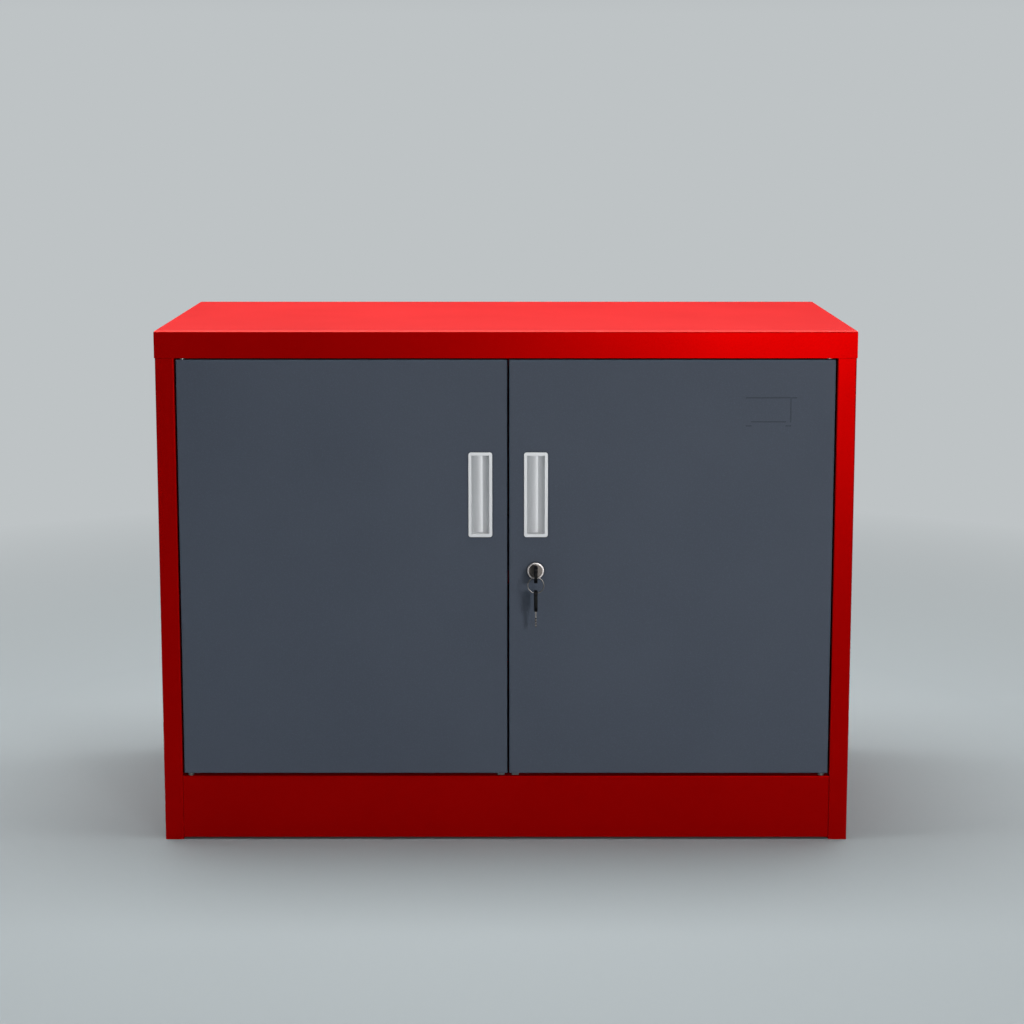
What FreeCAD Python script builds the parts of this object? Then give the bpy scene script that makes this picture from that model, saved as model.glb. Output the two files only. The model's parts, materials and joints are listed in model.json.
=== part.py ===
import FreeCAD, Part
import os
import re

import Sketcher

# A low two-door steel cabinet with recessed handles and a three-point lock.
# X runs along the width, Y from the front to the back, Z up from the floor.
# The origin is the centre of the footprint, on the floor.
# Every length is in millimetres.

SIZES = {
    # carcass
    "cab_width": 900.0,
    "cab_depth": 400.0,
    "cab_height": 675.0,
    "sheet": 0.8,
    "bend": 0.7,
    "fit_clear": 0.05,
    "overrun": 2.0,
    # top panel
    "rail_height": 35.4,
    "top_bend": 3.0,
    "top_flange": 22.0,
    "stop_depth": 28.6,
    "stop_height": 14.0,
    "seam": 0.3,
    "rib_width": 60.0,
    "rib_flange": 15.0,
    "rib_height": 18.0,
    # side panels
    "stile_width": 25.2,
    "side_return": 55.0,
    "side_lip": 14.0,
    "rear_return": 40.0,
    "slot_tall": 10.0,
    "slot_wide": 5.0,
    "slot_pitch": 25.0,
    "slot_first": 150.0,
    "slot_margin": 60.0,
    "slot_setback": 47.0,
    "rear_slot_setback": 20.0,
    # base
    "plinth_top": 86.5,
    "plinth_lift": 2.5,
    "plinth_setback": 0.6,
    "plinth_return": 35.0,
    "plinth_foot": 22.0,
    "plinth_hem": 8.0,
    "floor_gap": 2.4,
    "floor_flange": 18.0,
    "back_lift": 12.0,
    # shelf and its clips
    "shelf_side_gap": 1.5,
    "shelf_front_gap": 8.0,
    "shelf_rear_gap": 3.0,
    "shelf_edge": 20.0,
    "shelf_hem": 12.0,
    "clip_reach": 12.0,
    "clip_width": 12.0,
    "clip_thick": 1.5,
    "clip_lap": 2.0,
    "clip_clear": 0.3,
    "hook_drop": 5.0,
    # screws through the back panel
    "screw_radius": 1.75,
    "screw_head_radius": 4.0,
    "screw_head": 1.6,
    "screw_length": 8.0,
    "screw_low": 60.0,
    "base_screw_spacing": 500.0,
    # doors
    "door_sheet": 0.8,
    "door_depth": 25.0,
    "door_bend": 1.5,
    "door_side_gap": 2.2,
    "door_top_gap": 1.6,
    "door_bottom_gap": 3.8,
    "door_hem": 12.0,
    "meet_gap": 2.4,
    "meet_offset": 2.9,
    "stay_width": 40.0,
    "stay_flange": 12.0,
    "stay_height": 12.0,
    "stay_margin": 45.0,
    # hinge pins, bushes and door buffers
    "pin_inset": 10.2,
    "pin_setback": 6.0,
    "pin_radius": 2.5,
    "pin_clear": 0.05,
    "pin_reach": 9.0,
    "collar_radius": 4.5,
    "collar_height": 2.0,
    "bush_radius": 4.0,
    "bush_neck": 3.3,
    "bush_rim": 3.8,
    "bush_rim_height": 1.2,
    "bush_end_gap": 0.3,
    "buffer_radius": 4.0,
    "buffer_gap": 0.4,
    "buffer_inset": 60.0,
    "glide_width": 9.0,
    "glide_length": 18.0,
    "glide_offset": 9.4,
    "glide_clear": 0.5,
    "glide_stem": 2.0,
    "glide_stem_height": 3.0,
    # handles
    "handle_width": 31.0,
    "handle_height": 111.0,
    "handle_drop": 120.5,
    "handle_offset": 35.9,
    "handle_rim": 2.6,
    "handle_proud": 1.0,
    "handle_corner": 3.4,
    "handle_edge": 0.6,
    "cup_depth": 14.0,
    "cup_wall": 1.4,
    "cup_corner": 1.8,
    "trough_depth": 11.5,
    "long_side_radius": 18.0,
    "short_side_radius": 13.0,
    # card place pressed in the right door
    "card_width": 51.0,
    "card_height": 32.4,
    "card_inset": 81.8,
    "card_drop": 65.0,
    "card_line": 1.3,
    "card_press": 0.35,
    "card_ear": 7.0,
    "card_ear_drop": 4.0,
    # lock
    "lock_offset": 35.6,
    "lock_drop": 44.5,
    "lock_rim_radius": 11.0,
    "lock_rim": 2.2,
    "lock_edge": 0.8,
    "barrel_radius": 9.3,
    "barrel_depth": 18.0,
    "nut_radius": 13.0,
    "nut_height": 4.0,
    "plug_radius": 6.2,
    "plug_clear": 0.05,
    "plug_sunk": 0.5,
    "cam_gap": 0.4,
    "cam_thick": 2.0,
    "cam_radius": 13.5,
    "spigot_radius": 4.0,
    "tongue_width": 12.0,
    "tongue_length": 47.0,
    "tongue_corner": 2.5,
    "tongue_clear": 0.5,
    "tongue_sweep": 36.0,
    "cam_screw_radius": 1.5,
    "cam_screw_head": 3.2,
    "cam_screw_depth": 3.0,
    "crank_radius": 10.6,
    "crank_pin_radius": 2.0,
    "crank_clear": 0.5,
    # lock rods and their guides
    "rod_offset": 10.4,
    "rod_width": 13.0,
    "rod_thick": 1.8,
    "rod_gap": 0.6,
    "rod_stub": 0.8,
    "rod_end": 6.0,
    "rod_clear": 0.35,
    "guide_rise": 34.5,
    "guide_lift": 81.0,
    "guide_width": 24.0,
    "guide_height": 10.0,
    # keys and ring
    "key_thick": 4.5,
    "key_height": 20.0,
    "key_length": 27.0,
    "key_corner": 8.0,
    "key_hole_radius": 3.2,
    "key_hole_inset": 5.4,
    "blade_thick": 1.8,
    "blade_height": 7.6,
    "blade_length": 20.5,
    "notch_depth": 1.6,
    "notch_pitch": 3.6,
    "blade_clear": 0.2,
    "key_stand": 7.0,
    "tang_length": 6.0,
    "ring_radius": 10.35,
    "ring_wire": 0.75,
    "ring_play": 0.5,
}

# The crease of a handle's trough, as a share of the trough's width
crease_share = 0.62

# An edge within this share of a wall's thickness of a face lies on that face
near_share = 0.1

# This many slots lie under the shelf's own, and a key has this many notches
slots_under_count = 8
key_notches = 3

# Places and lengths that follow from the sizes
PLACES = {
    "front": "-cab_depth / 2",
    "rear": "cab_depth / 2",
    "half_width": "cab_width / 2",
    "rail_low": "cab_height - rail_height",
    "under_top": "cab_height - sheet",
    "open_half": "half_width - stile_width",
    "side_face": "half_width - sheet",
    "side_inner": "side_face - sheet",
    "side_rear": "rear - 2 * sheet",
    "side_top": "cab_height - top_bend",
    "back_face": "side_rear",
    "stop_back": "front + stop_depth",
    "stop_face": "stop_back - sheet",
    "plinth_face": "front + plinth_setback",
    "plinth_back": "plinth_face + plinth_return",
    "front_slot": "front + slot_setback",
    "rear_slot": "side_rear - rear_slot_setback",
    "floor_front": "front + door_depth + floor_gap",
    "floor_top": "plinth_top + sheet",
    "shelf_front": "front + door_depth + shelf_front_gap",
    "shelf_rear": "back_face - shelf_rear_gap",
    "shelf_half": "open_half - shelf_side_gap",
    "clip_slot": f"slot_first + {slots_under_count} * slot_pitch",
    "clip_top": "clip_slot + slot_tall / 2",
    "shelf_top": "clip_top + sheet",
    "door_low": "plinth_top + door_bottom_gap",
    "door_high": "rail_low - door_top_gap",
    "door_back": "front + door_depth",
    "skin_back": "front + door_sheet",
    "door_side": "open_half - door_side_gap",
    "left_meet": "meet_offset - meet_gap / 2",
    "right_meet": "meet_offset + meet_gap / 2",
    "pin_x": "open_half - pin_inset",
    "pin_y": "front + pin_setback",
    "handle_middle": "door_high - handle_drop - handle_height / 2",
    "handle_top": "handle_middle + handle_height / 2",
    "handle_low": "handle_middle - handle_height / 2",
    "lock_x": "meet_offset + lock_offset",
    "lock_z": "handle_low - lock_drop",
    "cam_front": "front + barrel_depth + cam_gap",
    "cam_back": "cam_front + cam_thick",
    "rod_front": "cam_back + rod_gap",
    "rod_back": "rod_front + rod_thick",
    "crank_x": "crank_radius * cos(45)",
    "crank_play": "crank_pin_radius + crank_clear",
    "plug_face": "front - lock_rim + plug_sunk",
    "key_near": "plug_face - key_stand",
    "key_far": "key_near - key_length",
    "ring_y": "key_far + key_hole_inset",
    "ring_top": "lock_z - key_hole_radius + ring_wire + ring_play",
    "ring_middle": "ring_top - ring_radius",
    "ring_low": "ring_middle - ring_radius",
    "spare_hole_z": "ring_low - key_hole_radius + ring_wire + ring_play",
    "spare_head_top": "spare_hole_z + key_hole_inset",
    "spare_head_low": "spare_head_top - key_length",
}

doc = FreeCAD.newDocument("cabinet")
sheet = doc.addObject("Spreadsheet::Sheet", "sizes")
for row, (alias, size) in enumerate(SIZES.items(), start=1):
    sheet.set(f"A{row}", alias)
    sheet.set(f"B{row}", str(size))
    sheet.setAlias(f"B{row}", alias)
doc.recompute()

# The finished sub-parts, as pairs of node name and object
SUBPARTS = []


# Expressions in the words of SIZES and PLACES

def spelled(expression):
    def cell(match):
        word = match.group(0)
        if word in PLACES:
            return "(" + spelled(PLACES[word]) + ")"
        return "sizes." + word if word in SIZES else word
    return re.sub(r"[a-z][a-z0-9_]*", cell, str(expression))


def value(expression):
    return float(sheet.evalExpression(spelled(expression)))


def bind(item, prop, expression):
    item.setExpression(prop, spelled(expression))


def across(side, low, high):
    # A stretch of X on the right side, or its mirror image on the left side
    if side == "left":
        return (f"-({high})", f"-({low})")
    return (low, high)


def finish(item, node):
    item.Label = node
    SUBPARTS.append((node, item))
    return item


# Primitive solids

def block(name, x, y, z):
    item = doc.addObject("Part::Box", name)
    for prop, axis, (low, high) in zip(("Length", "Width", "Height"), "xyz", (x, y, z)):
        bind(item, prop, f"({high}) - ({low})")
        bind(item, f"Placement.Base.{axis}", low)
    return item


def drum(name, axis, radius, start, length):
    # A cylinder along an axis, from the middle of its first face
    turns = {"x": (FreeCAD.Vector(0, 1, 0), 90), "y": (FreeCAD.Vector(1, 0, 0), -90),
             "z": (FreeCAD.Vector(0, 0, 1), 0)}
    item = doc.addObject("Part::Cylinder", name)
    item.Placement = FreeCAD.Placement(FreeCAD.Vector(), FreeCAD.Rotation(*turns[axis]))
    bind(item, "Radius", radius)
    bind(item, "Height", length)
    for side, place in zip("xyz", start):
        bind(item, f"Placement.Base.{side}", place)
    return item


def joined(name, items):
    item = doc.addObject("Part::MultiFuse", name)
    item.Shapes = items
    item.Refine = True
    return item


def less(name, base, tools):
    item = doc.addObject("Part::Cut", name)
    item.Base = base
    item.Tool = tools[0] if len(tools) == 1 else joined(name + "_tools", tools)
    return item


# Sketched features of a body

def new_body(name):
    return doc.addObject("PartDesign::Body", name + "_body")


def sketch_on(body, plane, place):
    sketch = body.newObject("Sketcher::SketchObject", "outline")
    support = next(f for f in body.Origin.OriginFeatures if f.Role == plane + "_Plane")
    sketch.AttachmentSupport = (support, "")
    sketch.MapMode = "FlatFace"
    facing = "-" if plane == "XZ" else ""
    bind(sketch, "AttachmentOffset.Base.z", f"{facing}({place})")
    return sketch


def held(geometry, point, place):
    # Ties that keep one point of a sketch at its place
    return [(Sketcher.Constraint(kind, -1, 1, geometry, point, value(expression)), expression)
            for kind, expression in zip(("DistanceX", "DistanceY"), place)]


def sized(geometry, radius):
    return [(Sketcher.Constraint("Radius", geometry, value(radius)), radius)]


def meeting(first, first_point, second, second_point):
    return [(Sketcher.Constraint("Coincident", first, first_point, second, second_point), None)]


def tie(sketch, ties):
    # Adds the constraints in one go, then binds each one that has an expression
    indices = sketch.addConstraint([constraint for constraint, expression in ties])
    for index, (constraint, expression) in zip(indices, ties):
        if expression is not None:
            bind(sketch, f"Constraints[{index}]", expression)


def draw_circle(sketch, x, y, radius):
    centre = FreeCAD.Vector(value(x), value(y), 0)
    geometry = sketch.addGeometry(
        Part.Circle(centre, FreeCAD.Vector(0, 0, 1), value(radius)), False)
    tie(sketch, held(geometry, 3, (x, y)) + sized(geometry, radius))


def arc_between(start, end, centre, radius):
    # The short arc from start to end, as counter-clockwise geometry, and its two point numbers
    first, last = start - centre, end - centre
    clockwise = first.cross(last).z < 0
    if clockwise:
        first, last = last, first
    x_axis = FreeCAD.Vector(1, 0, 0)
    angles = [x_axis.getAngle(v) * (1 if v.y >= 0 else -1) for v in (first, last)]
    circle = Part.Circle(centre, FreeCAD.Vector(0, 0, 1), radius)
    return Part.ArcOfCircle(circle, *angles), (2, 1) if clockwise else (1, 2)


def draw_outline(sketch, corners):
    # A closed outline of (x, y) corners, and of (x, y, radius) for a rounded square corner
    count = len(corners)
    spots = [FreeCAD.Vector(value(c[0]), value(c[1]), 0) for c in corners]
    entries = []
    exits = []
    for i, corner in enumerate(corners):
        if len(corner) == 2:
            entries.append(corner)
            exits.append(corner)
            continue
        into = (spots[i] - spots[i - 1]).normalize()
        out = (spots[(i + 1) % count] - spots[i]).normalize()
        x, y, radius = corner
        entries.append((f"{x} - ({round(into.x)}) * ({radius})",
                        f"{y} - ({round(into.y)}) * ({radius})"))
        exits.append((f"{x} + ({round(out.x)}) * ({radius})",
                      f"{y} + ({round(out.y)}) * ({radius})"))
    lines = []
    ties = []
    for i in range(count):
        start = FreeCAD.Vector(*[value(v) for v in exits[i]], 0)
        end = FreeCAD.Vector(*[value(v) for v in entries[(i + 1) % count]], 0)
        lines.append(sketch.addGeometry(Part.LineSegment(start, end), False))
        ties += held(lines[-1], 1, exits[i])
    for i, corner in enumerate(corners):
        before, after = lines[i - 1], lines[i]
        if len(corner) == 2:
            ties += meeting(before, 2, after, 1)
            continue
        start = FreeCAD.Vector(*[value(v) for v in entries[i]], 0)
        end = FreeCAD.Vector(*[value(v) for v in exits[i]], 0)
        arc, points = arc_between(start, end, start + end - spots[i], value(corner[2]))
        geometry = sketch.addGeometry(arc, False)
        ties += held(before, 2, entries[i])
        ties += meeting(before, 2, geometry, points[0])
        ties += meeting(geometry, points[1], after, 1)
        ties += sized(geometry, corner[2])
    tie(sketch, ties)


def oblong(x, y, radius=None):
    # The outline of a rectangle, with rounded corners if it has a radius
    corners = [(x[0], y[0]), (x[1], y[0]), (x[1], y[1]), (x[0], y[1])]
    if radius is None:
        return corners
    return [corner + (radius,) for corner in corners]


def extrude(body, kind, sketch, plane, low, high):
    feature = body.newObject("PartDesign::" + kind, kind.lower())
    feature.Profile = sketch
    feature.Reversed = (plane == "XZ") if kind == "Pad" else (plane != "XZ")
    bind(feature, "Length", f"({high}) - ({low})")
    sketch.Visibility = False
    return feature


def add(body, plane, low, high, *outlines):
    sketch = sketch_on(body, plane, low)
    for outline in outlines:
        draw_outline(sketch, outline)
    return extrude(body, "Pad", sketch, plane, low, high)


def take(body, plane, low, high, *outlines):
    sketch = sketch_on(body, plane, low)
    for outline in outlines:
        draw_outline(sketch, outline)
    return extrude(body, "Pocket", sketch, plane, low, high)


def add_round(body, plane, low, high, x, y, radius):
    sketch = sketch_on(body, plane, low)
    draw_circle(sketch, x, y, radius)
    return extrude(body, "Pad", sketch, plane, low, high)


def drill(body, plane, low, high, radius, places):
    sketch = sketch_on(body, plane, low)
    for x, y in places:
        draw_circle(sketch, x, y, radius)
    return extrude(body, "Pocket", sketch, plane, low, high)


def round_edges(body, radius, wanted):
    # Rounds the straight edges of the body's tip whose two ends pass the test
    doc.recompute()
    base = body.Tip
    names = []
    for number, edge in enumerate(base.Shape.Edges, start=1):
        if len(edge.Vertexes) == 2 and wanted(edge.Vertexes[0].Point, edge.Vertexes[1].Point):
            names.append(f"Edge{number}")
    feature = body.newObject("PartDesign::Fillet", "rounding")
    feature.Base = (base, names)
    bind(feature, "Radius", radius)
    return feature


def hollow(body, wall, open_normal):
    # Turns the body's tip into a shell that is open on the face with this outward normal
    doc.recompute()
    base = body.Tip
    names = []
    for number, face in enumerate(base.Shape.Faces, start=1):
        normal = face.normalAt(0, 0)
        if normal.getAngle(open_normal) < near_share:
            names.append(f"Face{number}")
    feature = body.newObject("PartDesign::Thickness", "shell")
    feature.Base = (base, names)
    feature.Reversed = True
    bind(feature, "Value", wall)
    return feature


def folded(body, plane, low, high, path, hand, wall="sheet", inner="bend"):
    # A folded sheet: path is the corners of one face, and hand is +1 where
    # the metal lies on the left of the path and -1 where it lies on the right
    spots = [FreeCAD.Vector(value(x), value(y), 0) for x, y in path]
    ways = [(b - a).normalize() for a, b in zip(spots, spots[1:])]
    left = [FreeCAD.Vector(-way.y, way.x, 0) for way in ways]
    near = []
    far = []
    for i, (x, y) in enumerate(path):
        if i == 0 or i == len(ways):
            shift = left[min(i, len(ways) - 1)] * hand
            near.append((x, y))
            far.append((f"{x} + ({round(shift.x)}) * {wall}",
                        f"{y} + ({round(shift.y)}) * {wall}"))
            continue
        shift = (left[i - 1] + left[i]) * hand
        outside = ways[i - 1].cross(ways[i]).z * hand > 0
        radii = (f"({inner} + {wall})", inner) if outside else (inner, f"({inner} + {wall})")
        near.append((x, y, radii[0]))
        far.append((f"{x} + ({round(shift.x)}) * {wall}",
                    f"{y} + ({round(shift.y)}) * {wall}", radii[1]))
    return add(body, plane, low, high, near + far[::-1])


# Carcass

def slot_heights():
    # The middles of the shelf slots, from the lowest up
    count = int(value("(rail_low - slot_margin - slot_first) / slot_pitch")) + 1
    return [f"slot_first + {i} * slot_pitch" for i in range(count)]


def screw_places():
    # The back panel's screws: three up each side panel, two in the base rail
    heights = ["screw_low", "cab_height / 2", "cab_height - screw_low"]
    places = []
    for side in ("-", ""):
        places += [(f"{side}(open_half + stile_width / 2)", height) for height in heights]
        places.append((f"{side}base_screw_spacing / 2", "screw_low"))
    return places


def screw_bores(name):
    return [drum(f"{name}_bore{i}", "y", "screw_radius",
                 (x, "rear - screw_length - overrun", z), "screw_length + 2 * overrun")
            for i, (x, z) in enumerate(screw_places())]


def side_panel(side):
    node = side + "_side_panel"
    body = new_body(node)
    mirror = "-" if side == "left" else ""
    inner, outer, lip = (f"{mirror}({word})" for word in
                         ("open_half", "side_face", "open_half + side_lip"))
    path = [(lip, "front + side_return"), (inner, "front + side_return"), (inner, "front"),
            (outer, "front"), (outer, "side_rear"), (inner, "side_rear"),
            (inner, "side_rear - rear_return"), (lip, "side_rear - rear_return")]
    folded(body, "XY", 0, "side_top", path, -1 if side == "left" else 1)
    foot = block(node + "_foot", across(side, "open_half + sheet + bend", "side_face"),
                 ("front + sheet", "side_rear - sheet"), (0, "sheet"))
    lid = block(node + "_lid", across(side, "open_half + sheet", "side_face"),
                ("front + side_return + overrun", "side_rear - sheet"),
                ("side_top - sheet", "side_top"))
    # The stile stops under the front rail, and the wall behind it goes on up
    over = ("rail_low - seam", "cab_height")
    tools = [block(node + "_front_notch", across(side, "open_half - overrun", "half_width"),
                   ("front - overrun", "front + sheet + bend"), over),
             block(node + "_return_notch",
                   across(side, "open_half - overrun", "side_inner - bend"),
                   ("front", "front + side_return + overrun"), over)]
    for i, height in enumerate(slot_heights()):
        for where in ("front_slot", "rear_slot"):
            tools.append(block(f"{node}_{where}{i}",
                               across(side, "open_half - overrun", "open_half + sheet + overrun"),
                               (f"{where} - slot_wide / 2", f"{where} + slot_wide / 2"),
                               (f"{height} - slot_tall / 2", f"{height} + slot_tall / 2")))
    tools += screw_bores(node)
    finish(less(node, joined(node + "_blank", [body, foot, lid]), tools), node)


def top_panel():
    body = new_body("top_panel")
    add(body, "XY", "rail_low", "cab_height",
        oblong(("-half_width", "half_width"), ("front", "rear")))
    top = value("cab_height")
    round_edges(body, "top_bend", lambda a, b: min(a.z, b.z) > top - near_share * value("sheet"))
    hollow(body, "sheet", FreeCAD.Vector(0, 0, -1))
    take(body, "XY", "rail_low - overrun", "cab_height - top_flange",
         oblong(("-half_width - overrun", "half_width + overrun"),
                ("front + sheet", "rear + overrun")))
    # The rail turns back under itself and down again as a stop for the doors
    add(body, "XY", "rail_low", "rail_low + sheet",
        oblong(("-side_inner + overrun", "side_inner - overrun"), ("front", "stop_face - bend")))
    path = [("front", "rail_low + sheet"), ("stop_back", "rail_low + sheet"),
            ("stop_back", "rail_low - stop_height")]
    folded(body, "YZ", "-open_half + overrun", "open_half - overrun", path, -1)
    drill(body, "XY", "rail_low - overrun", "rail_low + overrun", "bush_neck + fit_clear",
          [("-pin_x", "pin_y"), ("pin_x", "pin_y")])
    take(body, "XY", "rail_low - overrun", "rail_low + overrun", rod_slot("lock_x + rod_offset"))
    finish(body, "top_panel")


def rod_slot(x):
    # The outline of a lock rod's slot, seen from above
    return oblong((f"{x} - rod_width / 2 - rod_clear", f"{x} + rod_width / 2 + rod_clear"),
                  ("rod_front - rod_clear", "rod_back + rod_clear"))


def top_stiffener():
    body = new_body("top_stiffener")
    path = [("-rib_width / 2 - rib_flange", "under_top"), ("-rib_width / 2", "under_top"),
            ("-rib_width / 2", "under_top - rib_height"), ("rib_width / 2", "under_top - rib_height"),
            ("rib_width / 2", "under_top"), ("rib_width / 2 + rib_flange", "under_top")]
    folded(body, "YZ", "-open_half", "open_half", path, -1)
    finish(body, "top_stiffener")


def bottom_panel():
    body = new_body("bottom_panel")
    path = [("-open_half", "floor_top - floor_flange"), ("-open_half", "floor_top"),
            ("open_half", "floor_top"), ("open_half", "floor_top - floor_flange")]
    folded(body, "XZ", "floor_front", "back_face", path, -1)
    # The side flanges are cut back where the plinth and the base rail stand
    clear = "plinth_top - floor_flange - overrun"
    take(body, "XY", clear, "plinth_top",
         oblong(("-half_width", "half_width"), ("floor_front - overrun", "plinth_back")),
         oblong(("-half_width", "half_width"),
                ("back_face - plinth_foot - sheet", "back_face + overrun")))
    finish(body, "bottom_panel")


def back_panel():
    panel = block("back_blank", ("-side_face", "side_face"), ("side_rear", "rear - sheet"),
                  ("back_lift", "side_top"))
    finish(less("back_panel", panel, screw_bores("back")), "back_panel")


def front_plinth():
    body = new_body("front_plinth")
    path = [("plinth_back", "plinth_top - plinth_hem"), ("plinth_back", "plinth_top"),
            ("plinth_face", "plinth_top"), ("plinth_face", "plinth_lift"),
            ("plinth_face + plinth_foot", "plinth_lift")]
    folded(body, "YZ", "-open_half + seam", "open_half - seam", path, 1)
    drill(body, "XY", "plinth_top - overrun", "plinth_top + overrun", "bush_neck + fit_clear",
          [("-pin_x", "pin_y"), ("pin_x", "pin_y")])
    take(body, "XY", "plinth_top - overrun", "plinth_top + overrun",
         rod_slot("lock_x - rod_offset"))
    finish(body, "front_plinth")


def rear_base_rail():
    body = new_body("rear_base_rail")
    path = [("back_face - plinth_foot", "plinth_top"), ("back_face", "plinth_top"),
            ("back_face", "plinth_lift"), ("back_face - plinth_foot", "plinth_lift")]
    folded(body, "YZ", "-open_half", "open_half", path, -1)
    finish(less("rear_base_rail", body, screw_bores("base_rail")), "rear_base_rail")


def back_screws():
    screws = []
    for i, (x, z) in enumerate(screw_places()):
        screws.append(drum(f"screw_head{i}", "y", "screw_head_radius", (x, "rear - sheet", z),
                           "screw_head"))
        screws.append(drum(f"screw_shank{i}", "y", "screw_radius",
                           (x, "rear - sheet - screw_length", z), "screw_length"))
    finish(joined("back_screws", screws), "back_screws")


def shelf_clips():
    clips = []
    for side in ("left", "right"):
        for where in ("front_slot", "rear_slot"):
            name = f"clip_{side}_{where}"
            wide = (f"{where} - clip_width / 2", f"{where} + clip_width / 2")
            narrow = (f"{where} - slot_wide / 2 + clip_clear",
                      f"{where} + slot_wide / 2 - clip_clear")
            tall = ("clip_slot - slot_tall / 2 + clip_clear", "clip_slot + slot_tall / 2 - clip_clear")
            behind = "open_half + sheet"
            clips.append(joined(name, [
                block(name + "_ledge", across(side, "open_half - clip_reach", "open_half"), wide,
                      ("clip_top - clip_thick", "clip_top")),
                block(name + "_plate", across(side, "open_half - clip_thick", "open_half"), wide,
                      ("clip_slot - slot_tall / 2 - clip_lap", "clip_top")),
                block(name + "_tongue", across(side, "open_half - clip_thick",
                                               behind + " + clip_thick"), narrow, tall),
                block(name + "_hook", across(side, behind, behind + " + clip_thick"), narrow,
                      ("clip_slot - slot_tall / 2 - hook_drop", tall[1]))]))
    finish(joined("shelf_clips", clips), "shelf_clips")


def hinge_bush(side, level):
    # A flanged nylon bush: flange on the door's side, neck through the sheet, rim behind it
    node = f"{side}_{level}_bush"
    x = "-pin_x" if side == "left" else "pin_x"
    if level == "upper":
        flange = ("door_high + bush_end_gap", "rail_low")
        neck = ("rail_low", "rail_low + sheet")
        rim = ("rail_low + sheet", "rail_low + sheet + bush_rim_height")
        ends = (flange[0], rim[1])
    else:
        flange = ("plinth_top", "door_low - bush_end_gap")
        neck = ("plinth_top - sheet", "plinth_top")
        rim = ("plinth_top - sheet - bush_rim_height", "plinth_top - sheet")
        ends = (rim[0], flange[1])
    rounds = [drum(f"{node}_{kind}", "z", radius, (x, "pin_y", low), f"({high}) - ({low})")
              for kind, radius, (low, high) in (("flange", "bush_radius", flange),
                                                ("neck", "bush_neck", neck),
                                                ("rim", "bush_rim", rim))]
    bore = drum(node + "_bore", "z", "pin_radius + pin_clear",
                (x, "pin_y", f"{ends[0]} - overrun"), f"({ends[1]}) - ({ends[0]}) + 2 * overrun")
    finish(less(node, joined(node + "_solid", rounds), [bore]), node)


def door_buffers():
    buffers = []
    for i, x in enumerate(("-door_side + buffer_inset", "left_meet - buffer_inset",
                           "right_meet + buffer_inset", "door_side - buffer_inset")):
        buffers.append(drum(f"buffer{i}", "y", "buffer_radius",
                            (x, "door_back + buffer_gap", "door_high - door_hem / 2"),
                            "stop_face - door_back - buffer_gap"))
    finish(joined("door_buffers", buffers), "door_buffers")


# Shelf

def shelf():
    body = new_body("shelf")
    low = "shelf_top - shelf_edge"
    path = [("shelf_front + shelf_hem", low), ("shelf_front", low), ("shelf_front", "shelf_top"),
            ("shelf_rear", "shelf_top"), ("shelf_rear", low), ("shelf_rear - shelf_hem", low)]
    folded(body, "YZ", "-shelf_half", "shelf_half", path, -1)
    finish(body, "shelf_panel")


def shelf_stiffener():
    body = new_body("shelf_stiffener")
    top = "clip_top"
    path = [("-rib_width / 2 - rib_flange", top), ("-rib_width / 2", top),
            ("-rib_width / 2", f"{top} - rib_height"), ("rib_width / 2", f"{top} - rib_height"),
            ("rib_width / 2", top), ("rib_width / 2 + rib_flange", top)]
    folded(body, "YZ", "-shelf_half + clip_reach + overrun", "shelf_half - clip_reach - overrun",
           path, -1)
    finish(body, "shelf_stiffener")


# Doors

def door_span(side):
    return ("-door_side", "left_meet") if side == "left" else ("right_meet", "door_side")


def handle_x(side):
    return "meet_offset - handle_offset" if side == "left" else "meet_offset + handle_offset"


def door_pan(side):
    # The folded pan that both doors share, with its hems, pin holes and handle opening
    body = new_body(side + "_door")
    x = door_span(side)
    z = ("door_low", "door_high")
    add(body, "XZ", "front", "door_back", oblong(x, z))
    face = value("front") + near_share * value("door_sheet")
    round_edges(body, "door_bend", lambda a, b: max(a.y, b.y) < face)
    hollow(body, "door_sheet", FreeCAD.Vector(0, 1, 0))
    add(body, "XZ", "door_back - door_sheet", "door_back", oblong(x, z),
        oblong((f"{x[0]} + door_hem", f"{x[1]} - door_hem"),
               ("door_low + door_hem", "door_high - door_hem")))
    pin = "-pin_x" if side == "left" else "pin_x"
    for edge in ("door_high - door_sheet", "door_low"):
        drill(body, "XY", f"{edge} - overrun", f"{edge} + door_sheet + overrun",
              "pin_radius + fit_clear", [(pin, "pin_y")])
    drill(body, "XY", "door_low - overrun", "door_low + door_sheet + overrun",
          "glide_stem + fit_clear", [(glide_x(side), "front + door_depth / 2")])
    cup = "handle_width / 2 - handle_rim"
    tall = "handle_height / 2 - handle_rim"
    middle = handle_x(side)
    take(body, "XZ", "front - overrun", "skin_back + overrun",
         oblong((f"{middle} - ({cup})", f"{middle} + {cup}"),
                (f"handle_middle - ({tall})", f"handle_middle + {tall}"), "cup_corner"))
    # The slot that the lock's tongue swings through
    edge = ("left_meet - door_sheet - overrun", "left_meet + overrun")
    if side == "right":
        edge = ("right_meet - overrun", "right_meet + door_sheet + overrun")
    take(body, "YZ", edge[0], edge[1],
         oblong(("cam_front - tongue_clear", "cam_back + tongue_clear"),
                ("lock_z - tongue_width / 2 - tongue_clear", "lock_z + tongue_sweep")))
    return body


def glide_x(side):
    return "meet_offset - glide_offset" if side == "left" else "meet_offset + glide_offset"


def left_door_panel():
    finish(door_pan("left"), "left_door_panel")


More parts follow.
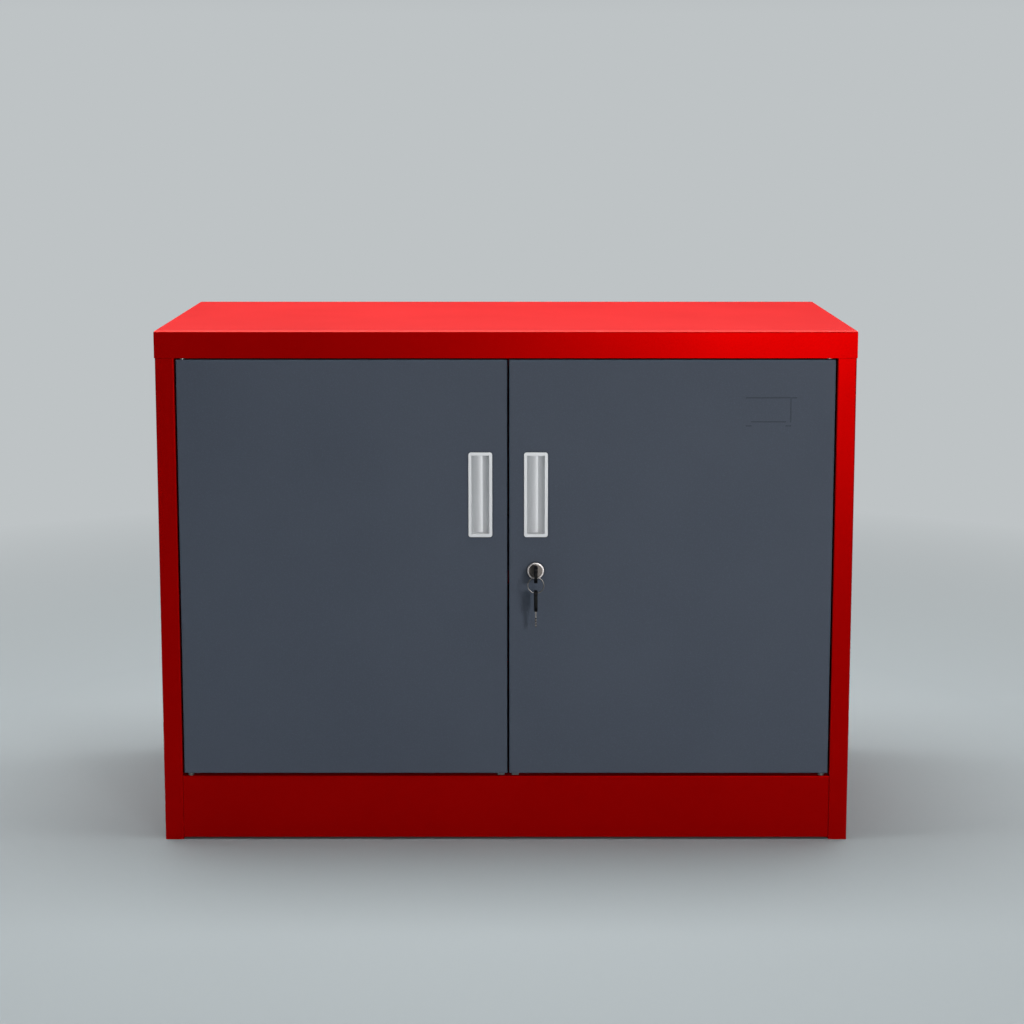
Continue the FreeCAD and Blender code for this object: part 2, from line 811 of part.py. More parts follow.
def right_door_panel():
    body = door_pan("right")
    drill(body, "XZ", "front - overrun", "skin_back + overrun", "barrel_radius + fit_clear",
          [("lock_x", "lock_z")])
    take(body, "XY", "door_high - door_sheet - overrun", "door_high + overrun",
         rod_slot("lock_x + rod_offset"))
    take(body, "XY", "door_low - overrun", "door_low + door_sheet + overrun",
         rod_slot("lock_x - rod_offset"))
    card_place(body)
    finish(body, "right_door_panel")


def card_place(body):
    # Thin pressed lines that mark where a card goes
    right = "door_side - card_inset + card_width / 2"
    left = "door_side - card_inset - card_width / 2"
    high = "door_high - card_drop + card_height / 2"
    low = "door_high - card_drop - card_height / 2"
    line = "card_line"
    pressed = ("front - overrun", "front + card_press")
    take(body, "XZ", *pressed,
         [(f"{left} - card_ear", f"{high} - {line}"), (f"{right} - {line}", f"{high} - {line}"),
          (f"{right} - {line}", low), (right, low), (right, f"{high} - {line}"),
          (f"{right} + card_ear", f"{high} - {line}"), (f"{right} + card_ear", high),
          (f"{left} - card_ear", high)])
    take(body, "XZ", *pressed, oblong((left, f"{right} - card_ear"), (low, f"{low} + {line}")))
    for x in (left, right):
        take(body, "XZ", *pressed,
             oblong((f"{x} - card_ear", x), (f"{low} - card_ear_drop - {line}", f"{low} - card_ear_drop")))


def door_stiffener(side):
    node = side + "_door_stiffener"
    body = new_body(node)
    middle = "(({0}) + ({1})) / 2".format(*door_span(side))
    deep = "skin_back + stay_height"
    half = "stay_width / 2"
    path = [(f"{middle} - {half} - stay_flange", "skin_back"), (f"{middle} - {half}", "skin_back"),
            (f"{middle} - {half}", deep), (f"{middle} + {half}", deep),
            (f"{middle} + {half}", "skin_back"), (f"{middle} + {half} + stay_flange", "skin_back")]
    folded(body, "XY", "door_low + stay_margin", "door_high - stay_margin", path, 1, "door_sheet")
    finish(body, node)


def handle(side):
    # A moulded cup: a rim on the door's face and a trough with a crease down its length
    node = side + "_handle"
    body = new_body(node)
    add(body, "XZ", "-handle_proud", 0,
        oblong(("-handle_width / 2", "handle_width / 2"), ("-handle_height / 2", "handle_height / 2"),
               "handle_corner"))
    cup_x = "handle_width / 2 - handle_rim"
    cup_z = "handle_height / 2 - handle_rim"
    add(body, "XZ", 0, "cup_depth",
        oblong((f"-({cup_x})", cup_x), (f"-({cup_z})", cup_z), "cup_corner"))
    sketch = sketch_on(body, "XY", f"-({cup_z}) + cup_wall")
    draw_trough(sketch, f"({cup_x} - cup_wall)")
    extrude(body, "Pocket", sketch, "XY", f"-({cup_z}) + cup_wall", f"{cup_z} - cup_wall")
    face = (near_share - 1) * value("handle_proud")
    round_edges(body, "handle_edge", lambda a, b: max(a.y, b.y) < face
                and max(abs(a.x), abs(b.x)) > value(cup_x))
    bind(body, "Placement.Base.x", handle_x(side))
    bind(body, "Placement.Base.y", "front")
    bind(body, "Placement.Base.z", "handle_middle")
    finish(body, node)


def draw_trough(sketch, half):
    # The trough's section: two arcs from the rim that meet at the crease
    mouth = "-handle_proud - overrun"
    crease = (f"-{half} + 2 * {half} * {crease_share}", "trough_depth")
    corners = [(f"-{half}", "0"), crease, (half, "0"), (half, mouth), (f"-{half}", mouth)]
    spots = [FreeCAD.Vector(value(x), value(y), 0) for x, y in corners]
    shapes = []
    for start, end, radius in ((0, 1, "long_side_radius"), (1, 2, "short_side_radius")):
        chord = spots[end] - spots[start]
        inward = FreeCAD.Vector(chord.y, -chord.x, 0).normalize()
        reach = (value(radius) ** 2 - (chord.Length / 2) ** 2) ** 0.5
        centre = spots[start] + chord / 2 + inward * reach
        arc, points = arc_between(spots[start], spots[end], centre, value(radius))
        shapes.append((sketch.addGeometry(arc, False), points, radius))
    for start, end in ((2, 3), (3, 4), (4, 0)):
        line = sketch.addGeometry(Part.LineSegment(spots[start], spots[end]), False)
        shapes.append((line, (1, 2), None))
    ties = []
    for i, (geometry, points, radius) in enumerate(shapes):
        following = shapes[(i + 1) % len(shapes)]
        ties += held(geometry, points[0], corners[i])
        ties += meeting(geometry, points[1], following[0], following[1][0])
        if radius:
            ties += sized(geometry, radius)
    tie(sketch, ties)


def hinge_pin(side, level):
    # A pin pressed through the door's flange, with a collar inside the door
    node = f"{side}_{level}_pin"
    x = "-pin_x" if side == "left" else "pin_x"
    if level == "upper":
        collar = "door_high - door_sheet - collar_height"
        shank = (collar, "door_high + pin_reach")
    else:
        collar = "door_low + door_sheet"
        shank = ("door_low - pin_reach", collar + " + collar_height")
    finish(joined(node, [
        drum(node + "_collar", "z", "collar_radius", (x, "pin_y", collar), "collar_height"),
        drum(node + "_shank", "z", "pin_radius", (x, "pin_y", shank[0]),
             f"({shank[1]}) - ({shank[0]})")]), node)


def door_glide(side):
    node = side + "_door_glide"
    x = glide_x(side)
    y = "front + door_depth / 2"
    pad = block(node + "_pad", (f"{x} - glide_width / 2", f"{x} + glide_width / 2"),
                (f"{y} - glide_length / 2", f"{y} + glide_length / 2"),
                ("plinth_top + glide_clear", "door_low"))
    stem = drum(node + "_stem", "z", "glide_stem", (x, y, "door_low"), "glide_stem_height")
    finish(joined(node, [pad, stem]), node)


# Lock and rods

def lock_body():
    body = new_body("lock_body")
    add_round(body, "XZ", "-lock_rim", 0, "0", "0", "lock_rim_radius")
    add_round(body, "XZ", 0, "barrel_depth", "0", "0", "barrel_radius")
    drill(body, "XZ", "-lock_rim - overrun", "barrel_depth + overrun", "plug_radius + plug_clear",
          [("0", "0")])
    doc.recompute()
    base = body.Tip
    names = [f"Edge{i}" for i, edge in enumerate(base.Shape.Edges, start=1)
             if abs(edge.CenterOfMass.y + value("lock_rim")) < near_share * value("lock_edge")
             and edge.BoundBox.XMax > value("barrel_radius")]
    rounding = body.newObject("PartDesign::Fillet", "rim_rounding")
    rounding.Base = (base, names)
    bind(rounding, "Radius", "lock_edge")
    place_at_lock(body)
    finish(body, "lock_body")


def place_at_lock(body):
    bind(body, "Placement.Base.x", "lock_x")
    bind(body, "Placement.Base.y", "front")
    bind(body, "Placement.Base.z", "lock_z")


def lock_nut():
    nut = doc.addObject("Part::Prism", "nut_blank")
    nut.Polygon = 6
    nut.Placement = FreeCAD.Placement(FreeCAD.Vector(), FreeCAD.Rotation(FreeCAD.Vector(1, 0, 0), -90))
    bind(nut, "Circumradius", "nut_radius")
    bind(nut, "Height", "nut_height")
    bind(nut, "Placement.Base.x", "lock_x")
    bind(nut, "Placement.Base.y", "skin_back")
    bind(nut, "Placement.Base.z", "lock_z")
    bore = drum("nut_bore", "y", "barrel_radius + fit_clear",
                ("lock_x", "skin_back - overrun", "lock_z"), "nut_height + 2 * overrun")
    finish(less("lock_nut", nut, [bore]), "lock_nut")


def lock_plug():
    face = "plug_face - front"
    rear = "cam_front - front"
    body = new_body("lock_plug")
    add_round(body, "XZ", face, rear, "0", "0", "plug_radius")
    add_round(body, "XZ", rear, f"{rear} + cam_thick", "0", "0", "spigot_radius")
    take(body, "XZ", f"{face} - overrun", f"{face} + blade_length - key_stand + blade_clear",
         oblong(("-blade_thick / 2 - blade_clear", "blade_thick / 2 + blade_clear"),
                ("-blade_height / 2 - blade_clear", "blade_height / 2 + blade_clear")))
    drill(body, "XZ", f"{rear} + cam_thick - cam_screw_depth", f"{rear} + cam_thick + overrun",
          "cam_screw_radius", [("0", "0")])
    place_at_lock(body)
    finish(body, "lock_plug")


def lock_cam():
    # A disc with two crank pins for the rods and a tongue for the left door
    body = new_body("lock_cam")
    low = "cam_front - front"
    high = "cam_back - front"
    add_round(body, "XZ", low, high, "0", "0", "cam_radius")
    add(body, "XZ", low, high,
        oblong(("-tongue_width / 2", "tongue_width / 2"), ("0", "tongue_length"), "tongue_corner"))
    drill(body, "XZ", f"{low} - overrun", f"{high} + overrun", "spigot_radius + fit_clear",
          [("0", "0")])
    sketch = sketch_on(body, "XZ", high)
    draw_circle(sketch, "crank_x", "-crank_x", "crank_pin_radius")
    draw_circle(sketch, "-crank_x", "crank_x", "crank_pin_radius")
    extrude(body, "Pad", sketch, "XZ", high, "rod_back - front")
    place_at_lock(body)
    finish(body, "lock_cam")


def cam_screw():
    head = drum("cam_screw_cap", "y", "cam_screw_head", ("lock_x", "cam_back", "lock_z"),
                "rod_gap + rod_thick")
    shank = drum("cam_screw_shank", "y", "cam_screw_radius",
                 ("lock_x", "cam_back - cam_screw_depth", "lock_z"), "cam_screw_depth")
    finish(joined("cam_screw", [head, shank]), "cam_screw")


def lock_rod(level):
    # A flat bar with a cross slot for its crank pin; it ends just past the door's edge
    node = level + "_lock_rod"
    body = new_body(node)
    if level == "upper":
        middle = "lock_x + rod_offset"
        pin_z = "lock_z - crank_x"
        span = (f"{pin_z} - rod_end", "door_high + rod_stub")
        slot_x = ("lock_x + crank_x - crank_play", "lock_x + crank_radius + crank_play")
    else:
        middle = "lock_x - rod_offset"
        pin_z = "lock_z + crank_x"
        span = ("door_low - rod_stub", f"{pin_z} + rod_end")
        slot_x = ("lock_x - crank_radius - crank_play", "lock_x - crank_x + crank_play")
    add(body, "XZ", "rod_front", "rod_back",
        oblong((f"{middle} - rod_width / 2", f"{middle} + rod_width / 2"), span))
    take(body, "XZ", "rod_front - overrun", "rod_back + overrun",
         oblong(slot_x, (f"{pin_z} - crank_play", f"{pin_z} + crank_play")))
    finish(body, node)


def rod_guide(level):
    node = level + "_rod_guide"
    if level == "upper":
        x = "(lock_x + rod_offset)"
        z = "(handle_top + guide_rise)"
    else:
        x = "(lock_x - rod_offset)"
        z = "(door_low + guide_lift)"
    solid = block(node + "_block", (f"{x} - guide_width / 2", f"{x} + guide_width / 2"),
                  ("skin_back", "door_back - 2 * door_sheet"),
                  (f"{z} - guide_height / 2", f"{z} + guide_height / 2"))
    slot = block(node + "_slot",
                 (f"{x} - rod_width / 2 - rod_clear", f"{x} + rod_width / 2 + rod_clear"),
                 ("rod_front - rod_clear", "door_back"),
                 (f"{z} - guide_height", f"{z} + guide_height"))
    finish(less(node, solid, [slot]), node)


# Keys and ring

def key_head(node):
    # The moulded head lies in the plane of Y and Z, with its blade end at the origin
    body = new_body(node)
    add(body, "YZ", "-key_thick / 2", "key_thick / 2",
        oblong(("-key_length", "0"), ("-key_height / 2", "key_height / 2"), "key_corner"))
    drill(body, "YZ", "-key_thick / 2 - overrun", "key_thick / 2 + overrun", "key_hole_radius",
          [("-key_length + key_hole_inset", "0")])
    take(body, "YZ", "-blade_thick / 2", "blade_thick / 2",
         oblong(("-tang_length", "overrun"), ("-blade_height / 2", "blade_height / 2")))
    finish(body, node)
    return body


def key_blade(node):
    # A flat blade with notches along its lower edge, held in the head by its tang
    body = new_body(node)
    low = "-blade_height / 2"
    outline = [("-tang_length", low)]
    for i in range(key_notches):
        start = f"blade_length - {key_notches - i} * notch_pitch"
        outline += [(f"{start} - notch_depth", low), (start, f"{low} + notch_depth"),
                    (f"{start} + notch_depth / 2", f"{low} + notch_depth"),
                    (f"{start} + notch_depth / 2", low)]
    outline += [("blade_length - notch_depth", low), ("blade_length", f"{low} + notch_depth"),
                ("blade_length", "blade_height / 2 - notch_depth"),
                ("blade_length - notch_depth", "blade_height / 2"),
                ("-tang_length", "blade_height / 2")]
    add(body, "YZ", "-blade_thick / 2", "blade_thick / 2", outline)
    finish(body, node)
    return body


def keys():
    for piece in (key_head("key_head"), key_blade("key_blade")):
        bind(piece, "Placement.Base.x", "lock_x")
        bind(piece, "Placement.Base.y", "key_near")
        bind(piece, "Placement.Base.z", "lock_z")
    for piece in (key_head("spare_key_head"), key_blade("spare_key_blade")):
        piece.Placement = FreeCAD.Placement(
            FreeCAD.Vector(), FreeCAD.Rotation(FreeCAD.Vector(1, 0, 0), -90))
        bind(piece, "Placement.Base.x", "lock_x")
        bind(piece, "Placement.Base.y", "ring_y")
        bind(piece, "Placement.Base.z", "spare_head_low")


def key_ring():
    ring = doc.addObject("Part::Torus", "ring_wire_loop")
    ring.Placement = FreeCAD.Placement(
        FreeCAD.Vector(), FreeCAD.Rotation(FreeCAD.Vector(1, 0, 0), -90))
    bind(ring, "Radius1", "ring_radius")
    bind(ring, "Radius2", "ring_wire")
    bind(ring, "Placement.Base.x", "lock_x")
    bind(ring, "Placement.Base.y", "ring_y")
    bind(ring, "Placement.Base.z", "ring_middle")
    finish(ring, "key_ring")


# The whole cabinet, written out one sub-part to a file

def build():
    for side in ("left", "right"):
        side_panel(side)
    top_panel()
    top_stiffener()
    bottom_panel()
    back_panel()
    front_plinth()
    rear_base_rail()
    back_screws()
    shelf_clips()
    door_buffers()
    shelf()
    shelf_stiffener()
    left_door_panel()
    right_door_panel()
    for side in ("left", "right"):
        door_stiffener(side)
        handle(side)
        door_glide(side)
        for level in ("upper", "lower"):
            hinge_bush(side, level)
            hinge_pin(side, level)
    lock_body()
    lock_nut()
    lock_plug()
    lock_cam()
    cam_screw()
    for level in ("upper", "lower"):
        lock_rod(level)
        rod_guide(level)
    keys()
    key_ring()
    doc.recompute()


def check():
    for item in doc.Objects:
        if "Invalid" in item.State or "Error" in item.State:
            raise RuntimeError(f"{item.Name} failed: {item.State}")
    for node, item in SUBPARTS:
        if item.Shape.isNull() or not item.Shape.isValid():
            raise RuntimeError(f"{node} has no valid shape")


def write():
    os.makedirs("parts", exist_ok=True)
    for node, item in SUBPARTS:
        item.Shape.exportStep(f"parts/{node}.step")


build()
check()
write()
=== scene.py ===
import bmesh
import bpy
import json
import math
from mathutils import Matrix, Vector


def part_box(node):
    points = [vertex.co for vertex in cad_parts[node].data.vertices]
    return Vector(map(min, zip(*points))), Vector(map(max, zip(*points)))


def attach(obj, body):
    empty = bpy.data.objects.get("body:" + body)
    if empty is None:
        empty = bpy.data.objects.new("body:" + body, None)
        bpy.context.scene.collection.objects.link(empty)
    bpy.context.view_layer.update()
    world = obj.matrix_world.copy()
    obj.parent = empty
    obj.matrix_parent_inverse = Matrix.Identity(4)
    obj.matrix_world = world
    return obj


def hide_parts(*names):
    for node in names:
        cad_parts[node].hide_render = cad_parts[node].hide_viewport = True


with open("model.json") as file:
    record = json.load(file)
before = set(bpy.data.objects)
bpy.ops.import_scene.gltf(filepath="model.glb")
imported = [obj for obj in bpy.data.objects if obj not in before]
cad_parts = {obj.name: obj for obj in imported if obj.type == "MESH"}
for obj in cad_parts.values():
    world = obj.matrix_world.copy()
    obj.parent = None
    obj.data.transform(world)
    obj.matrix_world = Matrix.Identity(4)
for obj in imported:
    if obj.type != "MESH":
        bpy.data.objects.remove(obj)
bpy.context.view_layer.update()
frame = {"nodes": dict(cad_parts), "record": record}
print("frame loaded")

mm = 0.001
sameSpot = 0.01 * mm            # vertices nearer than this become one


# colours and nodes

def linear(hexColour):
    # an sRGB hex colour as the linear RGBA that Blender's sockets want
    parts = [int(hexColour[i:i + 2], 16) / 255 for i in (1, 3, 5)]
    return [p / 12.92 if p <= 0.04045 else ((p + 0.055) / 1.055) ** 2.4 for p in parts] + [1.0]


def addNode(tree, kind, settings=None, links=None):
    # settings by attribute, input name or input number, links as input -> output socket
    node = tree.nodes.new(kind)
    for key, value in (settings or {}).items():
        if isinstance(key, int) or key in node.inputs:
            node.inputs[key].default_value = value
        else:
            setattr(node, key, value)
    join(tree, node, links or {})
    return node


def join(tree, node, links):
    for key, socket in links.items():
        tree.links.new(socket, node.inputs[key])


def newMaterial(name, settings):
    # a Principled material, with its node tree and shader
    material = bpy.data.materials.new(name)
    material.use_nodes = True
    tree = material.node_tree
    shader = tree.nodes["Principled BSDF"]
    for key, value in settings.items():
        shader.inputs[key].default_value = value
    return material, tree, shader


# most of a noise pattern lies between these values
noiseMiddle = {"From Min": 0.3, "From Max": 0.7}


# materials, each named for the real one

enamel = {
    "colour": "#9E0202",
    "shade": "#960101",         # slow change of film thickness across a panel
    "cloudMm": 180.0,
    "shine": "#FF0000",         # the film tints what it mirrors
    "roughnessLow": 0.3,
    "roughnessHigh": 0.34,
    "wipedRoughness": 0.26,     # added on upward faces, which dust and wiping make duller
    "wipedFrom": 0.6,           # the upward part of the normal where that starts
    "wipedTo": 0.95,
    "peelMm": 2.6,              # orange peel wavelength
    "peelDeepMm": 0.03,
    "foldHighlightColour": "#E8403A",    # painted highlight: a lighter red along the front fold of the top
    "foldHighlightMm": 1.6,
    "foldHighlightEndMm": 2.24,
}


def stovedRedEnamel():
    # satin stoving enamel on steel: even strong red, broad soft reflections, faint orange peel,
    # and a painted highlight along the front fold of the top
    material, tree, shader = newMaterial("stovedRedEnamel", {
        "IOR": 1.5, "Specular IOR Level": 0.5, "Specular Tint": linear(enamel["shine"])})
    place = addNode(tree, "ShaderNodeTexCoord")
    cloud = addNode(tree, "ShaderNodeTexNoise",
                    {"Scale": 1 / (enamel["cloudMm"] * mm), "Detail": 2.0},
                    {"Vector": place.outputs["Object"]})
    clouded = addNode(tree, "ShaderNodeMapRange", noiseMiddle, {"Value": cloud.outputs["Fac"]})
    film = addNode(tree, "ShaderNodeMix",
                   {"data_type": "RGBA", 6: linear(enamel["colour"]), 7: linear(enamel["shade"])},
                   {0: clouded.outputs["Result"]})
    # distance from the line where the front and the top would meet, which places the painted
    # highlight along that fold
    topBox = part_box("top_panel")
    split = addNode(tree, "ShaderNodeSeparateXYZ", None, {"Vector": place.outputs["Object"]})
    back = addNode(tree, "ShaderNodeMath", {"operation": "SUBTRACT", 1: topBox[0][1]},
                   {0: split.outputs["Y"]})
    down = addNode(tree, "ShaderNodeMath", {"operation": "SUBTRACT", 0: topBox[1][2]},
                   {1: split.outputs["Z"]})
    away = addNode(tree, "ShaderNodeMath", {"operation": "ADD"},
                   {0: back.outputs[0], 1: down.outputs[0]})
    paintedFoldHighlight = addNode(tree, "ShaderNodeMapRange",
                     {"From Min": enamel["foldHighlightMm"] * mm, "From Max": enamel["foldHighlightEndMm"] * mm,
                      "To Min": 1.0, "To Max": 0.0}, {"Value": away.outputs[0]})
    # painted highlight: the lighter red is mixed into the colour along the fold
    colour = addNode(tree, "ShaderNodeMix", {"data_type": "RGBA", 7: linear(enamel["foldHighlightColour"])},
                     {0: paintedFoldHighlight.outputs["Result"], 6: film.outputs[2]})
    facing = addNode(tree, "ShaderNodeSeparateXYZ", None, {"Vector": place.outputs["Normal"]})
    wiped = addNode(tree, "ShaderNodeMapRange",
                    {"From Min": enamel["wipedFrom"], "From Max": enamel["wipedTo"],
                     "To Max": enamel["wipedRoughness"]}, {"Value": facing.outputs["Z"]})
    gloss = addNode(tree, "ShaderNodeMapRange",
                    {**noiseMiddle, "To Min": enamel["roughnessLow"],
                     "To Max": enamel["roughnessHigh"]}, {"Value": cloud.outputs["Fac"]})
    roughness = addNode(tree, "ShaderNodeMath", {"operation": "ADD"},
                        {0: wiped.outputs["Result"], 1: gloss.outputs["Result"]})
    peel = addNode(tree, "ShaderNodeTexNoise",
                   {"Scale": 1 / (enamel["peelMm"] * mm), "Detail": 1.0},
                   {"Vector": place.outputs["Object"]})
    bump = addNode(tree, "ShaderNodeBump",
                   {"Distance": enamel["peelDeepMm"] * mm, "Strength": 1.0},
                   {"Height": peel.outputs["Fac"]})
    join(tree, shader, {"Base Color": colour.outputs[2], "Roughness": roughness.outputs[0],
                        "Normal": bump.outputs["Normal"]})
    return material


powder = {
    "colour": "#505764",
    "shade": "#4D5461",
    "cloudMm": 140.0,
    "grainMm": 1.2,             # the real grain is about 0.4 mm; coarser here so that it shows
    "grainDeepMm": 0.08,
    "fleck": "#596170",         # the crests of the grain catch a little more pigment
    "fleckFrom": 0.5,
    "fleckTo": 0.75,
    "fleckShare": 0.6,
    "specular": 0.08,
    "roughness": 0.6,
    "roughnessSpread": 0.05,
    "creaseShadeColour": "#23272F",
    "creaseShadeMm": 3.0,            # how far the painted shade of a pressed line or an edge reaches
    "creaseShadeShut": 0.55,         # the openness at which the painted shade is darkest
    "creaseShadeOpen": 0.97,
    "creaseShadeSamples": 6,
}


def slatePowderCoat():
    # fine matt powder coat: no clear reflection, a barely visible grain, and painted shade in
    # pressed lines and along edges
    material, tree, shader = newMaterial("slatePowderCoat", {
        "IOR": 1.5, "Specular IOR Level": powder["specular"]})
    place = addNode(tree, "ShaderNodeTexCoord")
    cloud = addNode(tree, "ShaderNodeTexNoise",
                    {"Scale": 1 / (powder["cloudMm"] * mm), "Detail": 2.0},
                    {"Vector": place.outputs["Object"]})
    clouded = addNode(tree, "ShaderNodeMapRange", noiseMiddle, {"Value": cloud.outputs["Fac"]})
    coat = addNode(tree, "ShaderNodeMix",
                   {"data_type": "RGBA", 6: linear(powder["colour"]), 7: linear(powder["shade"])},
                   {0: clouded.outputs["Result"]})
    grain = addNode(tree, "ShaderNodeTexNoise",
                    {"Scale": 1 / (powder["grainMm"] * mm), "Detail": 3.0},
                    {"Vector": place.outputs["Object"]})
    crests = addNode(tree, "ShaderNodeMapRange",
                     {"From Min": powder["fleckFrom"], "From Max": powder["fleckTo"],
                      "To Max": powder["fleckShare"]}, {"Value": grain.outputs["Fac"]})
    flecked = addNode(tree, "ShaderNodeMix", {"data_type": "RGBA", 7: linear(powder["fleck"])},
                      {0: crests.outputs["Result"], 6: coat.outputs[2]})
    # painted shade: the colour darkens where ambient occlusion finds pressed lines, edges and gaps
    crease = addNode(tree, "ShaderNodeAmbientOcclusion",
                     {"Distance": powder["creaseShadeMm"] * mm, "samples": powder["creaseShadeSamples"]})
    paintedCreaseShade = addNode(tree, "ShaderNodeMapRange",
                   {"From Min": powder["creaseShadeShut"], "From Max": powder["creaseShadeOpen"],
                    "To Min": 1.0, "To Max": 0.0}, {"Value": crease.outputs["AO"]})
    colour = addNode(tree, "ShaderNodeMix",
                     {"data_type": "RGBA", 7: linear(powder["creaseShadeColour"])},
                     {0: paintedCreaseShade.outputs["Result"], 6: flecked.outputs[2]})
    roughness = addNode(tree, "ShaderNodeMapRange",
                        {**noiseMiddle, "To Min": powder["roughness"] - powder["roughnessSpread"],
                         "To Max": powder["roughness"] + powder["roughnessSpread"]},
                        {"Value": grain.outputs["Fac"]})
    bump = addNode(tree, "ShaderNodeBump",
                   {"Distance": powder["grainDeepMm"] * mm, "Strength": 1.0},
                   {"Height": grain.outputs["Fac"]})
    join(tree, shader, {"Base Color": colour.outputs[2], "Roughness": roughness.outputs["Result"],
                        "Normal": bump.outputs["Normal"]})
    return material


plasticSpread = 0.04            # how far the roughness of a moulded grain wanders


def mouldedPlastic(name, look):
    # injection moulded plastic with a fine eroded grain that softens its highlights
    material, tree, shader = newMaterial(name, {"IOR": 1.53, **look["sockets"]})
    place = addNode(tree, "ShaderNodeTexCoord")
    grain = addNode(tree, "ShaderNodeTexNoise",
                    {"Scale": 1 / (look["grainMm"] * mm), "Detail": 2.0},
                    {"Vector": place.outputs["Object"]})
    grained = addNode(tree, "ShaderNodeMapRange", noiseMiddle, {"Value": grain.outputs["Fac"]})
    colour = addNode(tree, "ShaderNodeMix",
                     {"data_type": "RGBA", 6: linear(look["colour"]), 7: linear(look["shade"])},
                     {0: grained.outputs["Result"]})
    roughness = addNode(tree, "ShaderNodeMapRange",
                        {**noiseMiddle, "To Min": look["roughness"] - plasticSpread,
                         "To Max": look["roughness"] + plasticSpread},
                        {"Value": grain.outputs["Fac"]})
    bump = addNode(tree, "ShaderNodeBump", {"Distance": look["grainDeepMm"] * mm, "Strength": 1.0},
                   {"Height": grain.outputs["Fac"]})
    join(tree, shader, {"Base Color": colour.outputs[2], "Roughness": roughness.outputs["Result"],
                        "Normal": bump.outputs["Normal"]})
    return material


handleAbs = {
    "colour": "#CFD0D2",
    "shade": "#C8C9CB",
    "roughness": 0.5,
    "grainMm": 0.7,
    "grainDeepMm": 0.008,
    "sockets": {"Metallic": 0.15},
}


def silverPaintedAbs():
    # ABS under silver paint: pale, with a metallic gradient from side to side of the trough
    return mouldedPlastic("silverPaintedAbs", handleAbs)


bushNylon = {
    "colour": "#4C4B48",
    "shade": "#474643",
    "roughness": 0.45,
    "grainMm": 1.2,
    "grainDeepMm": 0.01,
    "sockets": {},
}


def naturalNylon():
    # nylon of the bushes and guides in a waxy dark grey
    return mouldedPlastic("naturalNylon", bushNylon)


glideNylon = {
    "colour": "#2A2C31",
    "shade": "#26282D",
    "roughness": 0.48,
    "grainMm": 1.2,
    "grainDeepMm": 0.01,
    "sockets": {},
}


def greyNylon():
    # dark grey nylon of the glides, worn to a satin
    return mouldedPlastic("greyNylon", glideNylon)


keyPlastic = {
    "colour": "#040406",
    "shade": "#060608",
    "roughness": 0.52,
    "grainMm": 0.8,
    "grainDeepMm": 0.008,
    "sockets": {"Specular IOR Level": 0.06},
}


def blackKeyPlastic():
    # soft moulded key head, dull enough to stay black where it faces the light
    return mouldedPlastic("blackKeyPlastic", keyPlastic)


bufferRubber = {
    "colour": "#17171A",
    "shade": "#1E1E21",
    "roughness": 0.75,
    "grainMm": 0.9,
    "grainDeepMm": 0.02,
    "sockets": {},
}


def blackRubber():
    # soft dull buffer rubber
    return mouldedPlastic("blackRubber", bufferRubber)


metalDeepMm = 0.003             # depth of the polish on the small metal pieces


def platedMetal(name, look):
    # a metal whose polish lines are a noise drawn long where its stretch is small
    material, tree, shader = newMaterial(name, {
        "Metallic": 1.0, "Base Color": linear(look["colour"])})
    place = addNode(tree, "ShaderNodeTexCoord")
    scaled = addNode(tree, "ShaderNodeMapping", {"Scale": look["stretch"]},
                     {"Vector": place.outputs["Object"]})
    grain = addNode(tree, "ShaderNodeTexNoise",
                    {"Scale": 1 / (look["grainMm"] * mm), "Detail": 2.0},
                    {"Vector": scaled.outputs["Vector"]})
    roughness = addNode(tree, "ShaderNodeMapRange",
                        {**noiseMiddle, "To Min": look["roughness"] - look["spread"],
                         "To Max": look["roughness"] + look["spread"]},
                        {"Value": grain.outputs["Fac"]})
    bump = addNode(tree, "ShaderNodeBump", {"Distance": metalDeepMm * mm, "Strength": 1.0},
                   {"Height": grain.outputs["Fac"]})
    join(tree, shader, {"Roughness": roughness.outputs["Result"],
                        "Normal": bump.outputs["Normal"]})
    return material


zinc = {
    "colour": "#C3C5C6",
    "roughness": 0.34,
    "spread": 0.07,
    "grainMm": 1.5,             # size of the mottles
    "stretch": (1, 1, 1),
}


def brightZinc():
    # zinc plate on pins, rods and screws: pale grey with a mottled satin
    return platedMetal("brightZinc", zinc)


nickel = {
    "colour": "#555351",
    "roughness": 0.34,
    "spread": 0.06,
    "grainMm": 0.5,             # across the polish lines, which are about eight times as long
    "stretch": (1, 1, 0.12),
}


def dullNickel():
    # nickel on the key blades and the ring: dull and dark grey, with lengthwise polish lines
    return platedMetal("dullNickel", nickel)


lockFace = {
    "rimColour": "#979392",
    "faceDarkReflection": "#504C49",
    "roughness": 0.34,
    "faceRadiusMm": 8.9,
    "faceEdgeMm": 0.25,
    "turningMm": 0.5,           # pitch of the turning marks; the real one is about 0.1 mm
    "turningDeepMm": 0.002,
}


